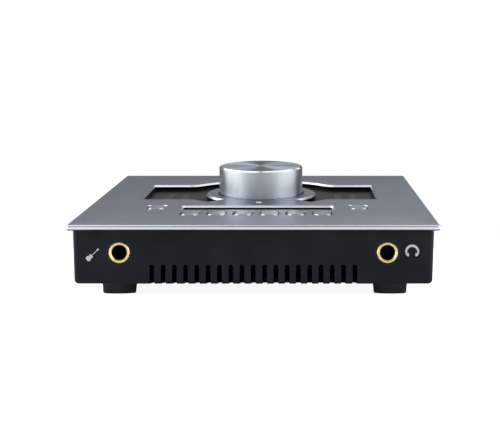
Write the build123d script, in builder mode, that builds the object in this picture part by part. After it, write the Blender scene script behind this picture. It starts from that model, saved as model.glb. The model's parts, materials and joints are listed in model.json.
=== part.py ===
"""Desktop audio interface with a tilted aluminium cover, a level knob, eight keys and front and rear sockets.

Millimetres, +Z up, +X to the user's right, +Y away from the user. The origin is on the table, under the middle
of the cover. Pieces on the cover are drawn on planes parallel to its top face: on such a plane u runs to the
right, v runs up the slope from the cover's front edge, and n is the height above the top face.
"""

import os
from math import cos, radians, sin, tan

from build123d import *

os.makedirs("parts", exist_ok=True)

# ---------------------------------------------------------------- driving dimensions
# Cover
tilt = 12.0
cover_width = 161.5
cover_length = 152.2
cover_thickness = 2.5
cover_edge = 1.0
cover_corner = 1.4
front_height = 29.8

# Body shell
body_inset_front = 2.4
body_inset_back = 2.9
body_width_base = 155.1
side_draft = 2.0
body_base = 4.6
wall = 2.0
body_round = 2.0

# Feet
foot_top_radius = 7.7
foot_bottom_radius = 7.2
foot_recess = 0.4
foot_spacing_x = 120.6
foot_inset_y = 15.0
foot_edge = 0.6

# Ventilation slots
vent_count = 19
vent_pitch = 4.87
vent_width = 2.1
vent_top = 12.9
vent_run = 13.0

# Knob and encoder
knob_v = 89.0
knob_radius = 21.4
knob_height = 14.1
knob_sink = 1.2
knob_chamfer = 0.7
knob_wall = 3.6
knob_top_wall = 2.5
knob_gap = 0.9
knob_travel = 0.5
shaft_radius = 3.0
bushing_radius = 4.5
encoder_size = 12.4
light_ring_height = 0.6

# Display windows
window_half = 58.5
window_front = 69.0
window_back = 113.8
window_corner = 1.0
window_chamfer = 0.9
bezel_radius = 28.3
front_flare_radius = 37.5
back_flare_radius = 43.2
flare_end_angle = 43.0
flare_blend = 9.0
lens_depth = 3.5
lens_thickness = 1.6
lens_lip = 1.0
label_width = 71.0
label_front = 39.5
label_back = 48.9

# Keys
key_width = 8.2
key_depth = 10.6
key_corner = 1.8
key_gap = 0.3
key_crown = 0.25
key_slope_height = 0.8
key_end_slope = 1.3
key_side_slope = 0.45
key_hole_chamfer = 0.4
key_flange = 0.8
key_flange_height = 0.6
key_stem_radius = 1.6
key_travel = 0.4
key_row_v = 30.0
key_pitch = 12.2
key_row_count = 6
side_key_u = 48.0
side_key_v = 45.5

# Status light
status_width = 2.6
status_length = 3.6
status_v = 59.0

# Boards
board_thickness = 1.6
ui_board_depth = 10.0
ui_board_half = 69.5
ui_board_margin = 3.2
main_board_half = 66.0
main_board_gap = 6.0
standoff_height = 4.0
rear_socket_room = 25.3
io_board_top = 46.5

# Front sockets, 1/4 inch
jack_spacing = 116.0
jack_height = 18.1
jack_bore = 3.25
ferrule_radius = 4.62
ferrule_lip = 0.45
ferrule_bevel = 0.45
ferrule_edge = 0.4
jack_sink_radius = 5.5
jack_width = 13.0
jack_depth = 20.0

# Rear sockets
panel_thickness = 1.6
panel_recess = 0.5
combo_x = (-52.0, -23.0)
combo_z = 31.0
combo_flange_width = 26.0
combo_flange_height = 29.0
combo_radius = 11.9
combo_mouth_radius = 9.6
combo_core_radius = 7.4
combo_mouth_depth = 14.0
line_x = (3.0, 21.0)
line_z = (21.0, 39.0)
bushing_rear_radius = 4.4
bushing_rear_reach = 2.2
nut_radius = 6.2
nut_height = 1.5
optical_x = 39.0
optical_z = 39.0
data_x = 39.0
data_z = 21.0
power_x = 57.0
switch_z = 37.0
inlet_z = 19.0

# Fasteners
case_screw_x = 70.4
case_screw_inset = 12.0
front_boss_length = 8.5
rear_boss_length = 13.0
m3_radius = 1.5
m25_radius = 1.25
head_ratio = 1.85

# Clearances
slip = 0.15
running = 0.06
thread_gap = 0.02
seat_gap = 0.3

# ---------------------------------------------------------------- derived places
slope = radians(tilt)
cover_front = -(cover_length * cos(slope) + cover_thickness * sin(slope)) / 2
body_front = cover_front + body_inset_front
body_back = -cover_front - body_inset_back
floor_top = body_base + wall
board_seat = floor_top + standoff_height
board_top = board_seat + board_thickness
panel_back = body_back - panel_recess
panel_front = panel_back - panel_thickness
io_board_front = panel_front - rear_socket_room
io_back = io_board_front + board_thickness
main_board_front = body_front + main_board_gap
main_board_back = body_back - main_board_gap
ui_board_front = key_row_v - key_depth / 2 + 1.3
ui_board_back = window_back + ui_board_margin
ui_seat = ui_board_depth
ui_under = ui_board_depth + board_thickness
frame_under = lens_depth + lens_thickness - 0.6
knob_hole = knob_radius + knob_gap
cover = Plane(origin=(0, cover_front, front_height), x_dir=(1, 0, 0), z_dir=(0, -sin(slope), cos(slope)))
up_the_normal = Axis((0, 0, 0), (0, -sin(slope), cos(slope)))
key_places = [((i - (key_row_count - 1) / 2) * key_pitch, key_row_v) for i in range(key_row_count)]
key_names = [f"button_{i + 1}" for i in range(key_row_count)]
key_places += [(-side_key_u, side_key_v), (side_key_u, side_key_v)]
key_names += ["button_left", "button_right"]
ui_boss_places = [
    (side * (ui_board_half - 3.9), v) for side in (-1, 1) for v in (ui_board_front + 8.0, ui_board_back - 7.0)
]
case_rows = (body_front + case_screw_inset, body_back - case_screw_inset)
case_places = [(x, y) for x in (-case_screw_x, case_screw_x) for y in case_rows]
standoff_places = [(side * 54.0, body_front + 30.3) for side in (-1, 1)]
standoff_places += [(side * 60.0, io_board_front - 8.4) for side in (-1, 1)]
foot_places = {
    "foot_front_left": (-foot_spacing_x / 2, body_front + foot_inset_y),
    "foot_front_right": (foot_spacing_x / 2, body_front + foot_inset_y),
    "foot_rear_left": (-foot_spacing_x / 2, body_back - foot_inset_y),
    "foot_rear_right": (foot_spacing_x / 2, body_back - foot_inset_y),
}


def level(height):
    """The plane parallel to the cover's top face, this far above it."""
    return cover.offset(height)


def facing_back(y):
    """An upright plane at y with its local x along -X, its local y up and its normal along +Y."""
    return Plane(origin=(0, y, 0), x_dir=(-1, 0, 0), z_dir=(0, 1, 0))


def facing_front(y):
    """An upright plane at y with its local x along +X, its local y up and its normal along -Y."""
    return Plane(origin=(0, y, 0), x_dir=(1, 0, 0), z_dir=(0, -1, 0))


def under_cover(y, depth=cover_thickness):
    """The height at y of the plane that lies this far under the cover's top face."""
    return front_height + (y - cover_front) * tan(slope) - depth / cos(slope)


post_tops = {y: under_cover(y) - length for y, length in zip(case_rows, (front_boss_length, rear_boss_length))}


def body_half(z):
    """Half the body's outer width at a height."""
    return body_width_base / 2 + (z - body_base) * tan(radians(side_draft))


def save(builder, name):
    """Label a finished piece and write its file."""
    builder.part.label = name
    export_step(builder.part, f"parts/{name}.step")


def drafted_section(inset, bottom, top):
    """The body's drafted cross-section, inset by a wall, as a polygon on the open sketch."""
    low = body_half(bottom) - inset
    high = body_half(top) - inset
    Polygon((-low, bottom), (low, bottom), (high, top), (-high, top), align=None)


def meter_outline(grow=0.0):
    """The meter window: two wings that flare round the bezel ring and meet behind the knob."""
    middle = (window_front + window_back) / 2
    reach = 2 * front_flare_radius
    spread = reach * tan(radians(flare_end_angle))
    with BuildSketch() as outline:
        with Locations((0, middle)):
            Rectangle(2 * window_half, window_back - window_front)
        with Locations((0, knob_v)):
            Circle(front_flare_radius)
        with BuildSketch() as back_flare:
            with Locations((0, knob_v)):
                Circle(back_flare_radius)
            with Locations((0, middle - back_flare_radius)):
                Rectangle(4 * back_flare_radius, 2 * back_flare_radius, mode=Mode.SUBTRACT)
        corners = outline.vertices().filter_by(lambda corner: abs(corner.X) > front_flare_radius + 1)
        blends = outline.vertices().filter_by(lambda corner: abs(corner.X) <= front_flare_radius + 1)
        fillet(blends, flare_blend)
        fillet(corners, window_corner)
        with Locations((0, knob_v)):
            Circle(bezel_radius, mode=Mode.SUBTRACT)
        Polygon((0, knob_v), (-spread, knob_v - reach), (spread, knob_v - reach), align=None, mode=Mode.SUBTRACT)
        if grow:
            offset(amount=grow, kind=Kind.INTERSECTION)
    return outline.sketch


def label_outline(grow=0.0):
    """The label strip's window on the open sketch."""
    with Locations((0, (label_front + label_back) / 2)):
        RectangleRounded(label_width + 2 * grow, label_back - label_front + 2 * grow, window_corner)


def key_holes(grow):
    """One rounded rectangle for each key on the open sketch."""
    with Locations(*key_places):
        RectangleRounded(key_width + 2 * grow, key_depth + 2 * grow, key_corner)


# ---------------------------------------------------------------- casing
with BuildPart() as top_plate:
    with BuildSketch(level(0)):
        with Locations((0, cover_length / 2)):
            RectangleRounded(cover_width, cover_length, cover_corner)
    extrude(amount=-cover_thickness)
    fillet(top_plate.faces().sort_by(up_the_normal)[-1].edges(), cover_edge)
    fillet(top_plate.faces().sort_by(up_the_normal)[0].edges(), cover_edge)
    # Meter and label windows, each with a bright bevel round its top edge
    with BuildSketch(level(0)):
        add(meter_outline())
        label_outline()
    extrude(amount=-cover_thickness, mode=Mode.SUBTRACT)
    rims = ShapeList(top_plate.faces().sort_by(up_the_normal)[-1].inner_wires())
    chamfer(rims.edges(), window_chamfer)
    # Key holes, each with a fine chamfer
    with BuildSketch(level(0)):
        key_holes(key_gap)
    extrude(amount=-cover_thickness, mode=Mode.SUBTRACT)
    hole_girth = 2 * (key_width + key_depth + 4 * key_gap)
    rims = ShapeList(top_plate.faces().sort_by(up_the_normal)[-1].inner_wires())
    chamfer(rims.filter_by(lambda rim: rim.length < hole_girth).edges(), key_hole_chamfer)
    # Holes for the knob and the status light
    with BuildSketch(level(0)):
        with Locations((0, knob_v)):
            Circle(knob_hole)
        with Locations((0, status_v)):
            Rectangle(status_width + 2 * slip, status_length + 2 * slip)
    extrude(amount=-cover_thickness, mode=Mode.SUBTRACT)
    # Bosses for the key board, square to the cover
    with BuildSketch(level(-cover_thickness)):
        with Locations(*ui_boss_places):
            Circle(m25_radius * 2.4)
    extrude(amount=-(ui_seat - cover_thickness))
    with BuildSketch(level(-ui_seat)):
        with Locations(*ui_boss_places):
            Circle(m25_radius + thread_gap)
    extrude(amount=ui_seat - cover_thickness, mode=Mode.SUBTRACT)
    # Upright bosses for the case screws
    for x, y in case_places:
        with BuildSketch(Plane.XY.offset(post_tops[y])):
            with Locations((x, y)):
                Circle(m3_radius * 2)
        extrude(amount=under_cover(y) - post_tops[y] + cover_thickness / 2)
    for x, y in case_places:
        with BuildSketch(Plane.XY.offset(post_tops[y])):
            with Locations((x, y)):
                Circle(m3_radius + thread_gap)
        extrude(amount=under_cover(y) - post_tops[y] - cover_thickness / 2, mode=Mode.SUBTRACT)
save(top_plate, "top_plate")

body_top = under_cover(-cover_front)
jack_places = [(-jack_spacing / 2, jack_height), (jack_spacing / 2, jack_height)]
lug_heights = (16.0, 36.0)
with BuildPart() as body_shell:
    with BuildSketch(facing_front(body_back)):
        drafted_section(0, body_base, body_top)
    extrude(amount=body_back - body_front)
    fillet(body_shell.faces().sort_by(Axis.Y)[0].edges().group_by(Axis.Z)[1:-1], body_round)
    fillet(body_shell.faces().sort_by(Axis.Z)[0].edges(), body_round)
    with BuildSketch(facing_front(body_back + 1)):
        drafted_section(wall, floor_top, body_top + 1)
    extrude(amount=body_back - body_front - wall + 1, mode=Mode.SUBTRACT)
    # Posts for the case screws and lugs for the rear panel's screws
    for x, y in case_places:
        with BuildSketch(Plane.XY.offset(floor_top)):
            with Locations((x, y)):
                Circle(m3_radius * 2 + 0.5)
        extrude(amount=post_tops[y] - floor_top)
    for side in (-1, 1):
        for z in lug_heights:
            with BuildSketch(facing_front(panel_front)):
                with Locations((side * (case_screw_x + 1.5), z)):
                    Rectangle(8.5, 7.0)
            extrude(amount=panel_front - case_rows[1])
    split(bisect_by=level(-cover_thickness), keep=Keep.BOTTOM)
    # Case screw holes, with deep recesses for the heads
    for x, y in case_places:
        with BuildSketch(Plane.XY.offset(body_base)):
            with Locations((x, y)):
                Circle(m3_radius + slip)
        extrude(amount=post_tops[y] - body_base, mode=Mode.SUBTRACT)
        with BuildSketch(Plane.XY.offset(body_base)):
            with Locations((x, y)):
                Circle(m3_radius * head_ratio + slip)
        extrude(amount=3.0, mode=Mode.SUBTRACT)
    for side in (-1, 1):
        for z in lug_heights:
            with BuildSketch(facing_front(panel_front)):
                with Locations((side * case_screw_x, z)):
                    Circle(m25_radius + thread_gap)
            extrude(amount=6.0, mode=Mode.SUBTRACT)
    # Ventilation slots down the front and on under the bottom edge
    with BuildSketch(facing_front(body_front)):
        with GridLocations(vent_pitch, 0, vent_count, 1):
            SlotOverall(2 * vent_top, vent_width, rotation=90)
    extrude(amount=-(wall + slip), mode=Mode.SUBTRACT)
    with BuildSketch(Plane.XY.offset(body_base)):
        with Locations((0, body_front)):
            with GridLocations(vent_pitch, 0, vent_count, 1):
                SlotOverall(2 * vent_run, vent_width, rotation=90)
    extrude(amount=wall, mode=Mode.SUBTRACT)
    # Front socket holes, countersunk
    with BuildSketch(facing_front(body_front)):
        with Locations(*jack_places):
            Circle(ferrule_radius + slip)
    extrude(amount=-wall, mode=Mode.SUBTRACT)
    with BuildSketch(facing_front(body_front)):
        with Locations(*jack_places):
            Circle(jack_sink_radius)
    extrude(amount=-(jack_sink_radius - ferrule_radius - slip), taper=45, mode=Mode.SUBTRACT)
    # Shallow seats for the feet
    with BuildSketch(Plane.XY.offset(body_base)):
        with Locations(*foot_places.values()):
            Circle(foot_top_radius + slip)
    extrude(amount=foot_recess, mode=Mode.SUBTRACT)
save(body_shell, "body_shell")

for name, place in foot_places.items():
    with BuildPart() as foot:
        with BuildSketch(Plane.XY):
            with Locations(place):
                Circle(foot_bottom_radius)
        with BuildSketch(Plane.XY.offset(body_base + foot_recess)):
            with Locations(place):
                Circle(foot_top_radius)
        loft()
        fillet(foot.faces().sort_by(Axis.Z)[0].edges(), foot_edge)
    save(foot, name)

with BuildPart() as case_screws:
    for x, y in case_places:
        head_seat = body_base + 3.0
        with BuildSketch(Plane.XY.offset(head_seat)):
            with Locations((x, y)):
                Circle(m3_radius * head_ratio)
        extrude(amount=-1.8)
        with BuildSketch(Plane.XY.offset(head_seat)):
            with Locations((x, y)):
                Circle(m3_radius)
        extrude(amount=post_tops[y] + 5.5 - head_seat)
        with BuildSketch(Plane.XY.offset(head_seat - 1.8)):
            with Locations((x, y)):
                RegularPolygon(m3_radius * 0.75, 6)
        extrude(amount=1.2, mode=Mode.SUBTRACT)
save(case_screws, "case_screws")

# ---------------------------------------------------------------- rear panel and what it carries
combo_places = [(x, combo_z) for x in combo_x]
line_places = [(x, z) for z in line_z for x in line_x]
panel_screw_places = [(side * case_screw_x, z) for side in (-1, 1) for z in lug_heights]
combo_screw_places = [
    (x + sign * (combo_flange_width / 2 - 3.0), combo_z + sign * (combo_flange_height / 2 - 3.2))
    for x in combo_x
    for sign in (-1, 1)
]
switch_width = 12.0
switch_height = 17.0
optical_size = 12.0
data_width = 9.2
data_height = 3.5
inlet_radius = 5.0
latch_width = 7.0
latch_height = 3.0
latch_travel = 1.0
latch_reach = 7.0
latch_guide_wall = 1.2
latch_z = combo_z + combo_mouth_radius + 2.0


def combo_section(x, grow=0.0):
    """The part of a combo socket that passes the panel: a barrel with a guide for its latch on top."""
    guide_height = latch_height / 2 + latch_guide_wall + latch_z - combo_z
    with Locations((x, combo_z)):
        Circle(combo_radius + grow)
    with Locations((x, combo_z + guide_height / 2)):
        Rectangle(latch_width + 2 * (latch_guide_wall + grow), guide_height + 2 * grow)


with BuildPart() as rear_panel:
    with BuildSketch(facing_front(panel_back)):
        drafted_section(wall + slip, floor_top + slip, under_cover(panel_front) - slip)
    extrude(amount=panel_thickness)
    with BuildSketch(facing_front(panel_back)):
        for x in combo_x:
            combo_section(x, slip)
        with Locations(*line_places):
            Circle(bushing_rear_radius + slip)
        with Locations(*panel_screw_places, *combo_screw_places):
            Circle(m25_radius + slip)
        with Locations((optical_x, optical_z)):
            Rectangle(optical_size + 2 * slip, optical_size + 2 * slip)
        with Locations((data_x, data_z)):
            RectangleRounded(data_width + 2 * slip, data_height + 2 * slip, data_height / 2 - 0.01)
        with Locations((power_x, switch_z)):
            Rectangle(switch_width + 2 * slip, switch_height + 2 * slip)
        with Locations((power_x, inlet_z)):
            Circle(inlet_radius + slip)
    extrude(amount=panel_thickness, mode=Mode.SUBTRACT)
save(rear_panel, "rear_panel")

combo_flange_thickness = 1.7
panel_head_height = 1.5
with BuildPart() as rear_panel_screws:
    with BuildSketch(facing_back(panel_back)):
        with Locations(*[(-x, z) for x, z in panel_screw_places]):
            Circle(m25_radius * head_ratio)
    extrude(amount=panel_head_height)
    with BuildSketch(facing_front(panel_back)):
        with Locations(*panel_screw_places):
            Circle(m25_radius)
    extrude(amount=panel_thickness + 5.0)
    with BuildSketch(facing_back(panel_back + combo_flange_thickness - 1.2)):
        with Locations(*[(-x, z) for x, z in combo_screw_places]):
            Circle(m25_radius * head_ratio)
    extrude(amount=1.1)
    with BuildSketch(facing_front(panel_back + combo_flange_thickness - 1.2)):
        with Locations(*combo_screw_places):
            Circle(m25_radius)
    extrude(amount=panel_thickness + 3.0)
save(rear_panel_screws, "rear_panel_screws")

pin_circle = 5.2
pin_hole = 1.25
pin_angles = (90.0, 210.0, 330.0)
contact_places = [(pin_circle * cos(radians(a)), pin_circle * sin(radians(a))) for a in pin_angles]
for index, x in enumerate(combo_x):
    with BuildPart() as combo:
        with BuildSketch(facing_back(panel_back)):
            with Locations((-x, combo_z)):
                RectangleRounded(combo_flange_width, combo_flange_height, 3.0)
        extrude(amount=combo_flange_thickness)
        with BuildSketch(facing_front(panel_back)):
            combo_section(x)
        extrude(amount=panel_back - io_back)
        with BuildSketch(facing_front(panel_back + combo_flange_thickness)):
            with Locations((x, combo_z)):
                Circle(combo_mouth_radius)
                Circle(combo_core_radius, mode=Mode.SUBTRACT)
        extrude(amount=combo_mouth_depth, mode=Mode.SUBTRACT)
        # The front of the core sits a little inside the flange
        with BuildSketch(facing_front(panel_back + combo_flange_thickness)):
            with Locations((x, combo_z)):
                Circle(combo_mouth_radius)
        extrude(amount=1.0, mode=Mode.SUBTRACT)
        with BuildSketch(facing_front(panel_back + combo_flange_thickness)):
            with Locations((x, combo_z)):
                Circle(jack_bore)
        extrude(amount=21.0, mode=Mode.SUBTRACT)
        with BuildSketch(facing_front(panel_back + combo_flange_thickness)):
            with Locations(*[(x + px, combo_z + pz) for px, pz in contact_places]):
                Circle(pin_hole)
        extrude(amount=16.0, mode=Mode.SUBTRACT)
        with BuildSketch(facing_front(panel_back + combo_flange_thickness)):
            with Locations((x, latch_z)):
                Rectangle(latch_width + 2 * slip, latch_height + 2 * slip)
        extrude(amount=latch_reach + latch_travel, mode=Mode.SUBTRACT)
        with BuildSketch(facing_front(panel_back + combo_flange_thickness)):
            with Locations(*combo_screw_places[2 * index : 2 * index + 2]):
                Circle(m25_radius * head_ratio + slip)
        extrude(amount=1.2, mode=Mode.SUBTRACT)
        with BuildSketch(facing_front(panel_back + combo_flange_thickness)):
            with Locations(*combo_screw_places[2 * index : 2 * index + 2]):
                Circle(m25_radius + slip)
        extrude(amount=combo_flange_thickness, mode=Mode.SUBTRACT)
    save(combo, f"combo_{index + 1}_housing")
    with BuildPart() as latch:
        with BuildSketch(facing_front(panel_back + combo_flange_thickness + latch_travel)):
            with Locations((x, latch_z)):
                Rectangle(latch_width, latch_height)
        extrude(amount=latch_reach)
        fillet(latch.edges().filter_by(Axis.Y), 0.5)
    save(latch, f"combo_{index + 1}_latch")

with BuildPart() as combo_contacts:
    with BuildSketch(facing_front(panel_back + combo_flange_thickness - 3.0)):
        with Locations(*[(x + px, combo_z + pz) for x in combo_x for px, pz in contact_places]):
            Circle(pin_hole - running)
            Circle(pin_hole - 0.35, mode=Mode.SUBTRACT)
    extrude(amount=13.0)
save(combo_contacts, "combo_contacts")

line_width = 12.6
for index, (x, z) in enumerate(line_places):
    with BuildPart() as line_jack:
        with BuildSketch(facing_front(panel_front)):
            with Locations((x, z)):
                Rectangle(line_width, line_width)
        extrude(amount=panel_front - io_back)
        with BuildSketch(facing_back(panel_front)):
            with Locations((-x, z)):
                Circle(bushing_rear_radius)
        extrude(amount=panel_thickness + bushing_rear_reach)
        with BuildSketch(facing_front(panel_back + bushing_rear_reach)):
            with Locations((x, z)):
                Circle(jack_bore)
        extrude(amount=22.0, mode=Mode.SUBTRACT)
        fillet(line_jack.faces().sort_by(Axis.Y)[-1].edges().sort_by(Edge.length)[-1], 0.5)
    save(line_jack, f"line_out_jack_{index + 1}")

with BuildPart() as line_out_nuts:
    with BuildSketch(facing_back(panel_back)):
        with Locations(*[(-x, z) for x, z in line_places]):
            RegularPolygon(nut_radius, 6)
            Circle(bushing_rear_radius + thread_gap, mode=Mode.SUBTRACT)
    extrude(amount=nut_height)
save(line_out_nuts, "line_out_nuts")

optical_mouth = 9.0
optical_depth = 11.0
shutter_thickness = 0.8
shutter_pin = 0.45
optical_face = panel_back + 2.4
shutter_y = optical_face - 1.0
shutter_z = optical_z + optical_mouth / 2 - 0.7
with BuildPart() as optical_port:
    with BuildSketch(facing_front(optical_face)):
        with Locations((optical_x, optical_z)):
            Rectangle(optical_size, optical_size)
    extrude(amount=optical_face - io_back)
    with BuildSketch(facing_front(optical_face)):
        with Locations((optical_x, optical_z)):
            Rectangle(optical_mouth, optical_mouth)
    extrude(amount=optical_depth, mode=Mode.SUBTRACT)
    with BuildSketch(Plane.YZ.offset(optical_x)):
        with Locations((shutter_y, shutter_z)):
            Circle(shutter_pin + running)
    extrude(amount=optical_mouth / 2 + 0.8, both=True, mode=Mode.SUBTRACT)
save(optical_port, "optical_port")

with BuildPart() as optical_shutter:
    with BuildSketch(Plane.YZ.offset(optical_x)):
        with Locations((shutter_y, shutter_z)):
            Circle(shutter_pin)
        with Locations((shutter_y, optical_z - 0.4)):
            Rectangle(shutter_thickness, optical_mouth - 2 * seat_gap - 0.8)
    extrude(amount=optical_mouth / 2 - seat_gap, both=True)
    with BuildSketch(Plane.YZ.offset(optical_x)):
        with Locations((shutter_y, shutter_z)):
            Circle(shutter_pin)
    extrude(amount=optical_mouth / 2 + 0.6, both=True)
save(optical_shutter, "optical_shutter")

data_reach = 0.4
with BuildPart() as data_port:
    with BuildSketch(facing_front(panel_back + data_reach)):
        with Locations((data_x, data_z)):
            RectangleRounded(data_width, data_height, data_height / 2 - 0.01)
            RectangleRounded(data_width - 0.8, data_height - 0.8, data_height / 2 - 0.41, mode=Mode.SUBTRACT)
    extrude(amount=panel_back + data_reach - io_back)
    with BuildSketch(facing_front(panel_back - 1.0)):
        with Locations((data_x, data_z)):
            Rectangle(data_width - 2.6, 0.7)
    extrude(amount=panel_back - 1.0 - io_back)
save(data_port, "data_port")

rocker_tilt = 7.0
rocker_length = switch_height - 3.4
rocker_width = switch_width - 3.2
rocker_y = panel_back - 1.0
flange_lip = 1.2
with BuildPart() as power_switch_frame:
    with BuildSketch(facing_back(panel_back)):
        with Locations((-power_x, switch_z)):
            Rectangle(switch_width + 2 * flange_lip, switch_height + 2 * flange_lip)
    extrude(amount=flange_lip)
    with BuildSketch(facing_front(panel_back)):
        with Locations((power_x, switch_z)):
            Rectangle(switch_width, switch_height)
    extrude(amount=panel_back - io_back)
    with BuildSketch(facing_front(panel_back + flange_lip)):
        with Locations((power_x, switch_z)):
            Rectangle(rocker_width + 2 * slip, switch_height - 2.4)
    extrude(amount=flange_lip + 9.0, mode=Mode.SUBTRACT)
    with BuildSketch(Plane.YZ.offset(power_x)):
        with Locations((rocker_y, switch_z)):
            Circle(1.0 + running)
    extrude(amount=rocker_width / 2 + 1.0, both=True, mode=Mode.SUBTRACT)
save(power_switch_frame, "power_switch_frame")

with BuildPart() as power_rocker:
    rocker_plane = Plane(
        origin=(power_x, rocker_y, switch_z),
        x_dir=(0, cos(radians(rocker_tilt)), sin(radians(rocker_tilt))),
        z_dir=(1, 0, 0),
    )
    with BuildSketch(rocker_plane):
        Polygon(
            (-3.0, -rocker_length / 2 + 1.5),
            (-3.0, rocker_length / 2 - 1.5),
            (2.6, rocker_length / 2),
            (2.0, 0),
            (2.6, -rocker_length / 2),
            align=None,
        )
    extrude(amount=rocker_width / 2, both=True)
    with BuildSketch(rocker_plane):
        Circle(1.0)
    extrude(amount=rocker_width / 2 + 0.8, both=True)
save(power_rocker, "power_rocker")

with BuildPart() as dc_inlet:
    with BuildSketch(facing_front(panel_back + 1.0)):
        with Locations((power_x, inlet_z)):
            Circle(inlet_radius)
    extrude(amount=panel_back + 1.0 - io_back)
    with BuildSketch(facing_front(panel_back + 1.0)):
        with Locations((power_x, inlet_z)):
            Circle(jack_bore)
            Circle(1.0, mode=Mode.SUBTRACT)
    extrude(amount=11.0, mode=Mode.SUBTRACT)
save(dc_inlet, "dc_inlet")

# ---------------------------------------------------------------- level knob and encoder
hub_bottom = 2.5
hub_top = knob_height - knob_top_wall
cup_radius = knob_radius - knob_wall
shaft_bottom = -8.0
plunger_height = 0.6
with BuildPart() as knob_cap:
    with BuildSketch(level(-knob_sink)):
        with Locations((0, knob_v)):
            Circle(knob_radius)
    extrude(amount=knob_sink + knob_height)
    chamfer(knob_cap.faces().sort_by(up_the_normal)[-1].edges(), knob_chamfer)
    fillet(knob_cap.faces().sort_by(up_the_normal)[0].edges(), 0.3)
    with BuildSketch(level(-knob_sink)):
        with Locations((0, knob_v)):
            Circle(cup_radius)
    extrude(amount=knob_sink + hub_top, mode=Mode.SUBTRACT)
save(knob_cap, "knob_cap")

with BuildPart() as knob_hub:
    with BuildSketch(level(hub_bottom)):
        with Locations((0, knob_v)):
            Circle(cup_radius - thread_gap)
            Circle(shaft_radius + thread_gap, mode=Mode.SUBTRACT)
    extrude(amount=hub_top - hub_bottom)
    # Pockets keep the hub light, as a moulding is
    with BuildSketch(level(hub_bottom)):
        with Locations((0, knob_v)):
            with PolarLocations(cup_radius * 0.6, 6):
                Circle(cup_radius * 0.2)
    extrude(amount=(hub_top - hub_bottom) * 0.8, mode=Mode.SUBTRACT)
save(knob_hub, "knob_hub")

with BuildPart() as encoder_shaft:
    with BuildSketch(level(shaft_bottom)):
        with Locations((0, knob_v)):
            Circle(shaft_radius)
    extrude(amount=hub_top - seat_gap - shaft_bottom)
save(encoder_shaft, "encoder_shaft")

with BuildPart() as encoder_plunger:
    with BuildSketch(level(shaft_bottom)):
        with Locations((0, knob_v)):
            Circle(shaft_radius)
    extrude(amount=-plunger_height)
save(encoder_plunger, "encoder_plunger")

encoder_nut_height = 1.6
with BuildPart() as encoder_body:
    with BuildSketch(level(-ui_seat)):
        with Locations((0, knob_v)):
            RectangleRounded(encoder_size, encoder_size, 0.8)
    extrude(amount=ui_seat - frame_under)
    with BuildSketch(level(-frame_under)):
        with Locations((0, knob_v)):
            Circle(bushing_radius)
    extrude(amount=frame_under - cover_thickness + encoder_nut_height + 0.3)
    with BuildSketch(level(shaft_bottom - plunger_height - knob_travel - 0.1)):
        with Locations((0, knob_v)):
            Circle(shaft_radius + running)
    extrude(amount=ui_seat, mode=Mode.SUBTRACT)
save(encoder_body, "encoder_body")

with BuildPart() as encoder_nut:
    with BuildSketch(level(-cover_thickness)):
        with Locations((0, knob_v)):
            RegularPolygon(bushing_radius * 1.5, 6)
            Circle(bushing_radius + thread_gap, mode=Mode.SUBTRACT)
    extrude(amount=encoder_nut_height)
save(encoder_nut, "encoder_nut")

with BuildPart() as level_light_ring:
    with BuildSketch(level(-cover_thickness)):
        with Locations((0, knob_v)):
            Circle(knob_hole - slip)
            Circle(knob_hole - 3.2, mode=Mode.SUBTRACT)
    extrude(amount=light_ring_height)
save(level_light_ring, "level_light_ring")

# ---------------------------------------------------------------- displays
frame_half = 61.5
frame_front = key_row_v - 8.0
frame_back = knob_v + back_flare_radius + 5.8
with BuildPart() as display_frame:
    with BuildSketch(level(-cover_thickness)):
        with Locations((0, (frame_front + frame_back) / 2)):
            RectangleRounded(2 * frame_half, frame_back - frame_front, 3.0)
    extrude(amount=-(frame_under - cover_thickness))
    with BuildSketch(level(-cover_thickness)):
        add(meter_outline())
        label_outline()
        key_holes(key_flange + seat_gap)
        with Locations((0, knob_v)):
            Circle(bushing_radius + slip)
        with Locations((0, status_v)):
            Rectangle(status_width + 2 * slip, status_length + 2 * slip)
    extrude(amount=-(frame_under - cover_thickness), mode=Mode.SUBTRACT)
    with BuildSketch(level(-frame_under)):
        add(meter_outline(lens_lip))
        label_outline(lens_lip)
    extrude(amount=frame_under - lens_depth, mode=Mode.SUBTRACT)
save(display_frame, "display_frame")

with BuildPart() as meter_window:
    with BuildSketch(level(-lens_depth)):
        add(meter_outline(lens_lip - slip))
    extrude(amount=-lens_thickness)
save(meter_window, "meter_window")

with BuildPart() as label_window:
    with BuildSketch(level(-lens_depth)):
        label_outline(lens_lip - slip)
    extrude(amount=-lens_thickness)
save(label_window, "label_window")

lens_under = lens_depth + lens_thickness
meter_places = [(side * u, (window_front + window_back) / 2) for side in (-1, 1) for u in (40.0, 48.0)]
baffle_length = window_back - window_front - 6.0
baffle_slot = 3.0
led_count = 8
led_size = (2.0, 1.4, 0.8)
with BuildPart() as light_baffles:
    with BuildSketch(level(-ui_seat)):
        for side in (-1, 1):
            with Locations((side * 44.0, (window_front + window_back) / 2)):
                Rectangle(18.0, baffle_length)
        with Locations(*meter_places):
            Rectangle(baffle_slot, baffle_length - 3.0, mode=Mode.SUBTRACT)
    extrude(amount=ui_seat - lens_under)
save(light_baffles, "light_baffles")

with BuildPart() as meter_leds:
    with BuildSketch(level(-ui_seat)):
        with Locations(*meter_places):
            with GridLocations(0, (baffle_length - 3.0) / led_count, 1, led_count):
                Rectangle(led_size[0], led_size[1])
    extrude(amount=led_size[2])
save(meter_leds, "meter_leds")

with BuildPart() as status_light_guide:
    with BuildSketch(level(0)):
        with Locations((0, status_v)):
            Rectangle(status_width, status_length)
    extrude(amount=-ui_seat)
save(status_light_guide, "status_light_guide")

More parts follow.
